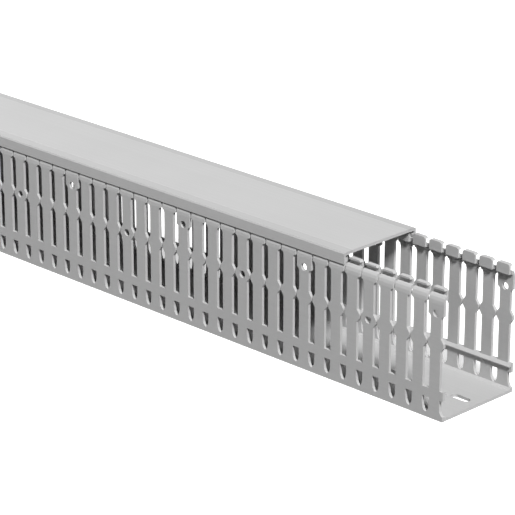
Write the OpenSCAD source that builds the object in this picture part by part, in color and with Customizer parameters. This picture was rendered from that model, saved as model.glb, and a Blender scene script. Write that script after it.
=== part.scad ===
// Slotted wiring duct: a U-shaped channel whose side walls are combs of pinched
// fingers, and a clip-on cover that slides along the lips of the channel.
//
// Frame: X runs along the duct, with the front end at +X. Y runs across it and Z up.
// The origin is the middle of the underside of the floor.

/* [Duct] */
// Length of the channel and of its cover
duct_length = 1000; // [250:12.5:1000]
// Width over the side walls
duct_width = 60; // [40:1:120]
// Height with the cover on
duct_height = 80; // [75:1:120]
// Thickness of the side walls
wall_t = 1.8; // [1.2:0.1:2.2]
// Thickness of the floor
floor_t = 1.8; // [1.2:0.1:2.6]
// Inside radius where the floor meets the walls
corner_r = 1.2; // [0.5:0.1:1.5]

/* [Fingers] */
// Spacing of the fingers along the duct
pitch = 12.5; // [11.5:0.5:20]
// Width of a wire slot between two fingers
slot_w = 5; // [4.5:0.5:6]
// Height of the foot of each slot above the underside
slot_z = 17.8; // [16:0.1:20]
// How far a finger bulges into the slot at the pinch
bulge = 2; // [1:0.1:2.1]
// Height of the middle of the pinch
pinch_z = 45; // [40:0.5:48]
// Height of the flat of the pinch
pinch_flat = 2.4; // [2:0.1:5]
// Height of each sloped flank of the pinch
pinch_flank = 2.8; // [1.5:0.1:3]
// Width of the slit between the shoulders of two fingers
slit_w = 1.4; // [1:0.1:2]
// Width of the gap between two finger heads, behind and above the shoulders
head_gap = 3.2; // [2.2:0.1:4]
// Bevel on the upper corners of each head
head_bevel = 1; // [0.4:0.1:1.5]
// Height of the rounded shoulders that close a slot under the heads
slot_cap = 2; // [1.5:0.1:4]

/* [Windows] */
// Height of the tip of each small window under the rail
window_z = 3; // [2.8:0.1:4]
// Height of the flat top of each window
window_top = 12.2; // [11:0.1:13.5]
// Height of the pointed end of a window
window_point = 5.2; // [3:0.1:6]

/* [Holes] */
// Diameter of the holes in the fingers
finger_hole_d = 4.5; // [3:0.1:5]
// Fingers from one finger hole to the next
hole_step = 4; // [2:1:8]
// Distance of a head hole below the foot of the shoulder
head_hole_drop = 5.7; // [5:0.1:8]
// How much lower the head of a finger with a head hole starts
low_head_drop = 6.5; // [6:0.1:8]
// Width of a mounting slot in the floor
mount_slot_w = 5; // [4:0.1:6]
// Length of a mounting slot in the floor
mount_slot_l = 13; // [10:0.5:20]
// Pitches from one mounting slot to the next
mount_step = 4; // [2:1:8]

/* [Rail] */
// How far the inner rail stands out from the wall
rail_d = 1.6; // [1:0.1:3]
// Thickness of the rail's edge, below its sloping top
rail_edge = 0.5; // [0.4:0.1:1]

/* [Head] */
// Depth of the outer shoulder, measured in from the face of the wall
shoulder_d = 2.6; // [2.4:0.1:3]
// Height of the outer shoulder
shoulder_h = 5.2; // [4:0.1:5.5]
// Height of the groove between the shoulder and the lip
groove_h = 2.6; // [2:0.1:3]
// Depth of the groove, measured in from the top of the shoulder
groove_d = 0.6; // [0.2:0.1:1]
// Thickness of the neck behind the groove
neck_t = 1.3; // [1:0.1:2]
// Thickness of the inward step that carries the neck
step_t = 2.4; // [2:0.1:2.8]
// Distance of the lip in from the face of the wall
lip_in = 1.6; // [1.5:0.1:1.8]
// Thickness of the lip
lip_t = 1.1; // [0.8:0.1:1.6]

/* [Cover] */
// Thickness of the cover
cover_t = 1.8; // [1:0.1:2]
// Rise of the middle of the cover above its edges
crown = 0.3; // [0:0.1:0.6]
// Width of the sloping band along each edge of the cover
crown_w = 7; // [6:0.5:12]
// How far the outer edge of each leg hangs below the groove
leg_drop = 1.1; // [0.4:0.1:1.5]
// Bevel along the outer edges of the cover
edge_r = 0.8; // [0.3:0.1:1]
// Clearance between the cover and the channel
slide_gap = 0.3; // [0.2:0.05:0.5]
// How far the cover stands back from the front end, in pitches
cover_back = 6; // [0:1:12]

/* [Hidden] */
$fn = 48;

// How far a cutter reaches past the solid it cuts
past = 1;

front_x = duct_length / 2;
half_w = duct_width / 2;
finger_w = pitch - slot_w;
fingers = floor(duct_length / pitch);
end_rest = duct_length - fingers * pitch;

cover_edge_z = duct_height - crown;
head_top = cover_edge_z - cover_t - slide_gap;
lip_bottom = head_top - lip_t;
groove_z = lip_bottom - groove_h;
shoulder_z = groove_z - shoulder_h;
neck_out = shoulder_d + groove_d;
head_in = neck_out + neck_t;
leg_t = lip_in - slide_gap;
head_hole_z = shoulder_z - head_hole_drop;
low_head_z = shoulder_z - low_head_drop;

// A slot is cut where its foot clears the cut end, or where the end halves it
function slot_shows(i) = let (left = end_rest + (fingers - i) * pitch) left == 0 || left > slot_w;
slots = [for (i = [0:fingers]) if (slot_shows(i)) i];

// Right-hand edge of a finger from its foot up, measured from the finger's middle line
function finger_edge(head_z) =
    let (
        foot = finger_w / 2,
        belly = foot + bulge,
        brow = (pitch - slit_w) / 2,
        head = (pitch - head_gap) / 2,
        low = pinch_z - pinch_flat / 2,
        high = pinch_z + pinch_flat / 2
    )
    concat(
        [
            [foot, slot_z],
            [foot, low - pinch_flank],
            [belly, low],
            [belly, high],
            [foot, high + pinch_flank]
        ],
        [
            for (a = [0:45:90])
                [foot + (brow - foot) * (1 - cos(a)), head_z - slot_cap + slot_cap * sin(a)]
        ],
        [
            [brow, groove_z],
            [head, groove_z],
            [head, head_top - head_bevel],
            [head - head_bevel - past, head_top + past],
            [head - head_bevel - past, duct_height]
        ]
    );

// The same edge mirrored, running down the other side of the finger
function finger_outline(x, head_z) =
    let (edge = finger_edge(head_z), last = len(edge) - 1)
    concat(
        [for (q = edge) [x + q[0], q[1]]],
        [for (i = [last:-1:0]) [x - edge[i][0], edge[i][1]]]
    );

// Kinds of finger: every second holed finger has its hole in the head
function has_hole(i) = i % hole_step == 0;
function has_head_hole(i) = i % (2 * hole_step) == 0;
function finger_x(i) = front_x - (i + 0.5) * pitch;
function head_z(i) = has_head_hole(i) ? low_head_z : shoulder_z;

// Outline of a side wall, seen from the side, with its fingers
function comb() = concat(
    [[front_x, slot_z]],
    [for (i = [0:fingers - 1]) each finger_outline(finger_x(i), head_z(i))],
    [[-front_x, slot_z], [-front_x, 0], [front_x, 0]]
);

// Section of the left-hand wall and half of the floor, with y from the outer face
function half_section() = concat(
    [[half_w, 0], [0, 0], [0, shoulder_z]],
    [
        for (a = [22.5:22.5:90])
            [shoulder_d * (1 - cos(a)), shoulder_z + shoulder_h * sin(a)]
    ],
    [
        [neck_out, groove_z],
        [neck_out, lip_bottom],
        [lip_in, lip_bottom],
        [lip_in, head_top],
        [head_in, head_top],
        [head_in, groove_z - step_t],
        [wall_t, groove_z - step_t],
        [wall_t, slot_z],
        [wall_t + rail_d, slot_z - rail_d],
        [wall_t + rail_d, slot_z - rail_d - rail_edge],
        [wall_t, slot_z - rail_d - rail_edge],
        [wall_t, floor_t + corner_r],
        [wall_t + corner_r, floor_t],
        [half_w, floor_t]
    ]
);

// Both halves of a section, joined along the middle of the duct
module both_sides(points) {
    polygon(concat(
        [for (q = points) [q[0] - half_w, q[1]]],
        [for (i = [len(points) - 2:-1:1]) [half_w - points[i][0], points[i][1]]]
    ));
}

// Turns a flat outline into a bar along the duct
module along_duct(x0, x1) {
    translate([x0, 0, 0]) rotate([90, 0, 90]) linear_extrude(x1 - x0) children();
}

// Turns a flat outline into a cutter across both walls
module across_duct() {
    translate([0, half_w + past, 0]) rotate([90, 0, 0]) linear_extrude(duct_width + 2 * past) children();
}

// Small pointed window in the foot of the wall, below each slot
module window_outline() {
    half = slot_w / 2;
    polygon(concat(
        [[-half, window_top]],
        [
            for (a = [0:30:90])
                [-half * cos(a), window_z + window_point * (1 - sin(a))]
        ],
        [
            for (a = [60:-30:0])
                [half * cos(a), window_z + window_point * (1 - sin(a))]
        ],
        [[half, window_top]]
    ));
}

module finger_holes() {
    for (i = [0:fingers - 1]) if (has_hole(i)) {
        hole_z = has_head_hole(i) ? head_hole_z : pinch_z;
        translate([finger_x(i), half_w + past, hole_z]) rotate([90, 0, 0])
            cylinder(h = duct_width + 2 * past, d = finger_hole_d);
    }
}

module mount_slots() {
    reach = (mount_slot_l - mount_slot_w) / 2;
    for (i = [1:mount_step:fingers - 1])
        translate([front_x - i * pitch, 0, -past]) linear_extrude(floor_t + 2 * past) union() {
            translate([-reach, 0]) circle(d = mount_slot_w);
            translate([reach, 0]) circle(d = mount_slot_w);
            square([2 * reach, mount_slot_w], center = true);
        }
}

// Widens the slits to the head gap behind the shoulders, on both sides at once
module head_gaps() {
    reach = half_w - neck_out;
    for (i = slots)
        translate([front_x - i * pitch - head_gap / 2, -reach, groove_z - step_t - past])
            cube([head_gap, 2 * reach, duct_height]);
}

module channel() color("lightgray") difference() {
    intersection() {
        along_duct(-front_x, front_x) both_sides(half_section());
        across_duct() polygon(comb());
    }
    across_duct() for (i = slots) translate([front_x - i * pitch, 0]) window_outline();
    head_gaps();
    finger_holes();
    mount_slots();
}

// Section of half of the cover, with y from the outer face
function half_cover() = [
    [half_w, duct_height],
    [crown_w, duct_height],
    [edge_r, cover_edge_z],
    [0, cover_edge_z - edge_r],
    [0, groove_z - leg_drop],
    [leg_t, groove_z],
    [shoulder_d - slide_gap, groove_z + 2 * slide_gap],
    [shoulder_d - slide_gap, lip_bottom - slide_gap],
    [leg_t, lip_bottom - slide_gap],
    [leg_t, cover_edge_z - cover_t],
    [crown_w, duct_height - cover_t],
    [half_w, duct_height - cover_t]
];

module cover() color("gainsboro")
    along_duct(-front_x - cover_back * pitch, front_x - cover_back * pitch)
        both_sides(half_cover());

channel();
cover();
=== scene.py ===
"""Slotted wiring duct with its clip-on cover, on a pale studio floor.

Lengths are in metres, angles in degrees and lamp powers in watts, unless a comment says otherwise.
"""

import math

import bpy
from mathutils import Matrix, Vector


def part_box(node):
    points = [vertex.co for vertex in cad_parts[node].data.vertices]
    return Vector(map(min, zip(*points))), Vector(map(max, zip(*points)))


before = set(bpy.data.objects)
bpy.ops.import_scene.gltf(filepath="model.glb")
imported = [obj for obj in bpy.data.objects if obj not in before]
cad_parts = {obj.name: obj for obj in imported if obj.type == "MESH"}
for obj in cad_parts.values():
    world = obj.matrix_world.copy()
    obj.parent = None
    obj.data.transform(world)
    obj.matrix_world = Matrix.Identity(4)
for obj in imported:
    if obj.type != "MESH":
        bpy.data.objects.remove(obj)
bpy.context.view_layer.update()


# Shader nodes


def new_material(name):
    """A material with only a Principled shader on its output."""
    material = bpy.data.materials.new(name)
    material.use_nodes = True
    tree = material.node_tree
    tree.nodes.clear()
    shader = tree.nodes.new("ShaderNodeBsdfPrincipled")
    output = tree.nodes.new("ShaderNodeOutputMaterial")
    tree.links.new(shader.outputs["BSDF"], output.inputs["Surface"])
    return material, tree, shader


def noise(tree, coords, stretch, scale, detail):
    """Noise over the object's own coordinates, each of them first multiplied by its stretch."""
    mapping = tree.nodes.new("ShaderNodeMapping")
    mapping.inputs["Scale"].default_value = stretch
    texture = tree.nodes.new("ShaderNodeTexNoise")
    texture.inputs["Scale"].default_value = scale
    texture.inputs["Detail"].default_value = detail
    tree.links.new(coords.outputs["Object"], mapping.inputs["Vector"])
    tree.links.new(mapping.outputs["Vector"], texture.inputs["Vector"])
    return texture.outputs["Fac"]


def ramp(tree, value, start, end, low=0.0, high=1.0):
    """Soft step from low to high as value goes from start to end."""
    step = tree.nodes.new("ShaderNodeMapRange")
    step.interpolation_type = "SMOOTHSTEP"
    sockets = ("From Min", "From Max", "To Min", "To Max")
    for name, number in zip(sockets, (start, end, low, high)):
        step.inputs[name].default_value = number
    tree.links.new(value, step.inputs["Value"])
    return step.outputs["Result"]


def math_node(tree, operation, first, second=None):
    """Result of a Math node. Each input is a number or the output of another node."""
    node = tree.nodes.new("ShaderNodeMath")
    node.operation = operation
    for socket, value in zip(node.inputs, (first, second)):
        if isinstance(value, (int, float)):
            socket.default_value = value
        elif value is not None:
            tree.links.new(value, socket)
    return node.outputs["Value"]


def bump(tree, height, strength, distance, below=None):
    """Normal of a relief that is distance high, laid over the normal below."""
    node = tree.nodes.new("ShaderNodeBump")
    node.inputs["Strength"].default_value = strength
    node.inputs["Distance"].default_value = distance
    tree.links.new(height, node.inputs["Height"])
    if below is not None:
        tree.links.new(below, node.inputs["Normal"])
    return node.outputs["Normal"]


# Plastic

CHANNEL_GREY = (0.50, 0.50, 0.50)
COVER_GREY = (0.51, 0.51, 0.51)
CHANNEL_ROUGHNESS = 0.5
COVER_ROUGHNESS = 0.46
PVC_SPECULAR = 0.35

# How far the tone and the roughness vary to either side
TONE_SPREAD = 0.015
ROUGHNESS_SPREAD = 0.05

# Noise, in features per metre: tone drifts over 7 cm, die lines are 1 mm apart, grain 0.4 mm
EVEN = (1.0, 1.0, 1.0)
DRIFT_SCALE = 14.0
DRIFT_DETAIL = 3.0
DIE_LINE_STRETCH = (1.5, 900.0, 900.0)
GRAIN_SCALE = 2600.0
FINE_DETAIL = 2.0

# Values of the noise from which to which the tone and the roughness change
TONE_SPAN = (0.3, 0.7)
ROUGHNESS_SPAN = (0.2, 0.8)

# Strength and height of each relief
DIE_LINE_RELIEF = (0.2, 0.00005)
RIB_RELIEF = (0.15, 0.00005)
GRAIN_RELIEF = (0.15, 0.00003)

# Duller ribbed strips along the cover's edges. The ribs and the dullness are surface; the strips'
# darker colour is painted shade
STRIP_WIDTH = 0.0067
STRIP_DEPTH = 0.0012
STRIP_BLEND = 0.0003
# Painted shade: the strips' colour is multiplied by this, so that they look darker, as if shaded
STRIP_PAINTED_SHADE = 0.86
STRIP_ADDED_ROUGHNESS = 0.15
# In radians per metre: the ribs are 0.9 mm apart
RIB_FREQUENCY = 7000.0


def extruded_pvc(name, colour, roughness, strips=None):
    """Light grey rigid PVC: soft drift of tone, fine die lines along X and a satin skin.

    strips says how far out in Y, and how high in Z, the duller ribbed edge strips of a cover
    begin; their colour is darkened with painted shade.
    """
    material, tree, shader = new_material(name)
    coords = tree.nodes.new("ShaderNodeTexCoord")
    drift = noise(tree, coords, EVEN, DRIFT_SCALE, DRIFT_DETAIL)
    lines = noise(tree, coords, DIE_LINE_STRETCH, 1.0, FINE_DETAIL)
    grain = noise(tree, coords, EVEN, GRAIN_SCALE, FINE_DETAIL)

    tones = (1.0 - TONE_SPREAD, 1.0 + TONE_SPREAD)
    tone_and_painted_shade = math_node(tree, "MULTIPLY", ramp(tree, drift, *TONE_SPAN, *tones),
                     ramp(tree, lines, *TONE_SPAN, *tones))
    skin = ramp(tree, grain, *ROUGHNESS_SPAN,
                roughness - ROUGHNESS_SPREAD, roughness + ROUGHNESS_SPREAD)
    relief = bump(tree, lines, *DIE_LINE_RELIEF)
    if strips:
        inner_y, foot_z = strips
        point = tree.nodes.new("ShaderNodeSeparateXYZ")
        tree.links.new(coords.outputs["Object"], point.inputs["Vector"])
        across = math_node(tree, "ABSOLUTE", point.outputs["Y"])
        outside = ramp(tree, across, inner_y - STRIP_BLEND, inner_y + STRIP_BLEND)
        above = ramp(tree, point.outputs["Z"], foot_z - STRIP_BLEND, foot_z)
        # Mask of the edge strips: ribbed and duller, and darkened with painted shade
        ribs_and_painted_shade = math_node(tree, "MULTIPLY", outside, above)
        wave = math_node(tree, "SINE", math_node(tree, "MULTIPLY", across, RIB_FREQUENCY))
        ribs = math_node(tree, "MULTIPLY", ribs_and_painted_shade, wave)
        # Painted shade: darkens the colour inside the edge strips
        tone_and_painted_shade = math_node(tree, "MULTIPLY", tone_and_painted_shade, ramp(tree, ribs_and_painted_shade, 0.0, 1.0, 1.0, STRIP_PAINTED_SHADE))
        duller = ramp(tree, ribs_and_painted_shade, 0.0, 1.0, 0.0, STRIP_ADDED_ROUGHNESS)
        skin = math_node(tree, "ADD", skin, duller)
        relief = bump(tree, ribs, *RIB_RELIEF, relief)

    grey = tree.nodes.new("ShaderNodeVectorMath")
    grey.operation = "SCALE"
    grey.inputs[0].default_value = colour
    tree.links.new(tone_and_painted_shade, grey.inputs["Scale"])
    tree.links.new(grey.outputs["Vector"], shader.inputs["Base Color"])
    tree.links.new(skin, shader.inputs["Roughness"])
    tree.links.new(bump(tree, grain, *GRAIN_RELIEF, relief), shader.inputs["Normal"])
    shader.inputs["Specular IOR Level"].default_value = PVC_SPECULAR
    return material


def dress(node, material):
    """Gives a CAD node one material in place of its own."""
    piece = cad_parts[node]
    piece.data.materials.clear()
    piece.data.materials.append(material)


cover_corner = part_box("cover")[1]
edge_strips = (cover_corner[1] - STRIP_WIDTH, cover_corner[2] - STRIP_DEPTH)
dress("channel", extruded_pvc("channel_pvc", CHANNEL_GREY, CHANNEL_ROUGHNESS))
dress("cover", extruded_pvc("cover_pvc", COVER_GREY, COVER_ROUGHNESS, edge_strips))


# Floor, world, lamps and camera

FLOOR_SIZE = 12.0
FLOOR_ROUGHNESS = 0.9
# The floor as a reflector is dim. The camera sees it pale, with a glow.
FLOOR_DIM = (0.12, 0.12, 0.12, 1.0)
FLOOR_SEEN = (0.9, 0.9, 0.9, 1.0)
FLOOR_GLOW = 0.45
WHITE = (1.0, 1.0, 1.0, 1.0)

# Strength of the world as a light, and as the camera sees it
WORLD_LIGHT = 0.015
WORLD_SEEN = 1.0

# The camera and the lamps look at a point this far behind the front end, and this high
AIM_BACK = 0.1737
AIM_HEIGHT = 0.0428

# In millimetres
SENSOR_WIDTH = 36.0
FOCAL_LENGTH = 184.6416


def studio_floor():
    """A wide pale floor: white to the camera, with the shadow on it, and dim as a reflector."""
    bpy.ops.mesh.primitive_plane_add(size=FLOOR_SIZE, location=(0.0, 0.0, 0.0))
    floor = bpy.context.object
    floor.name = "studio_floor"
    material, tree, shader = new_material("floor_pale")
    shader.inputs["Roughness"].default_value = FLOOR_ROUGHNESS
    shader.inputs["Specular IOR Level"].default_value = 0.0
    ray = tree.nodes.new("ShaderNodeLightPath")
    seen = math_node(tree, "MAXIMUM", ray.outputs["Is Camera Ray"], ray.outputs["Is Glossy Ray"])
    colour = tree.nodes.new("ShaderNodeMix")
    colour.data_type = "RGBA"
    tree.links.new(seen, colour.inputs["Factor"])
    colour.inputs["A"].default_value = FLOOR_DIM
    colour.inputs["B"].default_value = FLOOR_SEEN
    tree.links.new(colour.outputs["Result"], shader.inputs["Base Color"])
    shader.inputs["Emission Color"].default_value = WHITE
    glow = math_node(tree, "MULTIPLY", seen, FLOOR_GLOW)
    tree.links.new(glow, shader.inputs["Emission Strength"])
    floor.data.materials.append(material)


def plain_world():
    """A world that is white to the camera and gives almost no light."""
    world = bpy.data.worlds.new("studio")
    bpy.context.scene.world = world
    world.use_nodes = True
    tree = world.node_tree
    tree.nodes.clear()
    mix = tree.nodes.new("ShaderNodeMixShader")
    ray = tree.nodes.new("ShaderNodeLightPath")
    output = tree.nodes.new("ShaderNodeOutputWorld")
    for socket, strength in zip(mix.inputs[1:], (WORLD_LIGHT, WORLD_SEEN)):
        background = tree.nodes.new("ShaderNodeBackground")
        background.inputs["Color"].default_value = WHITE
        background.inputs["Strength"].default_value = strength
        tree.links.new(background.outputs["Background"], socket)
    tree.links.new(ray.outputs["Is Camera Ray"], mix.inputs["Fac"])
    tree.links.new(mix.outputs["Shader"], output.inputs["Surface"])


def place(holder, aim, azimuth, elevation, distance):
    """Puts holder at an azimuth (0 is -Y, 90 is +X) and an elevation, looking at aim."""
    turn, lift = math.radians(azimuth), math.radians(elevation)
    away = Vector((
        math.cos(lift) * math.sin(turn),
        -math.cos(lift) * math.cos(turn),
        math.sin(lift),
    ))
    holder.location = Vector(aim) + away * distance
    holder.rotation_euler = away.to_track_quat("Z", "Y").to_euler()


def area_light(name, aim, azimuth, elevation, distance, size, power):
    """A square lamp that looks at aim."""
    lamp = bpy.data.lights.new(name, "AREA")
    lamp.energy = power
    lamp.size = size
    holder = bpy.data.objects.new(name, lamp)
    bpy.context.collection.objects.link(holder)
    place(holder, aim, azimuth, elevation, distance)


def studio_camera(aim, azimuth, elevation, distance):
    """The camera, at the photo's angle and distance."""
    lens = bpy.data.cameras.new("camera")
    lens.sensor_width = SENSOR_WIDTH
    lens.lens = FOCAL_LENGTH
    camera = bpy.data.objects.new("camera", lens)
    bpy.context.collection.objects.link(camera)
    place(camera, aim, azimuth, elevation, distance)
    bpy.context.scene.camera = camera


channel_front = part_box("channel")[1][0]
aim = (channel_front - AIM_BACK, 0.0, AIM_HEIGHT)
studio_floor()
plain_world()
# The key lamp grazes the near wall, so that little of its light gets in through the slots
area_light("key", aim, azimuth=62.0, elevation=47.0, distance=8.0, size=1.4, power=890.0)
area_light("side", aim, azimuth=-66.0, elevation=30.0, distance=3.0, size=1.0, power=20.0)
area_light("back", aim, azimuth=250.0, elevation=13.0, distance=8.0, size=2.0, power=460.0)
studio_camera(aim, azimuth=45.05, elevation=20.68, distance=1.5735)

bpy.context.scene.view_settings.view_transform = "Standard"
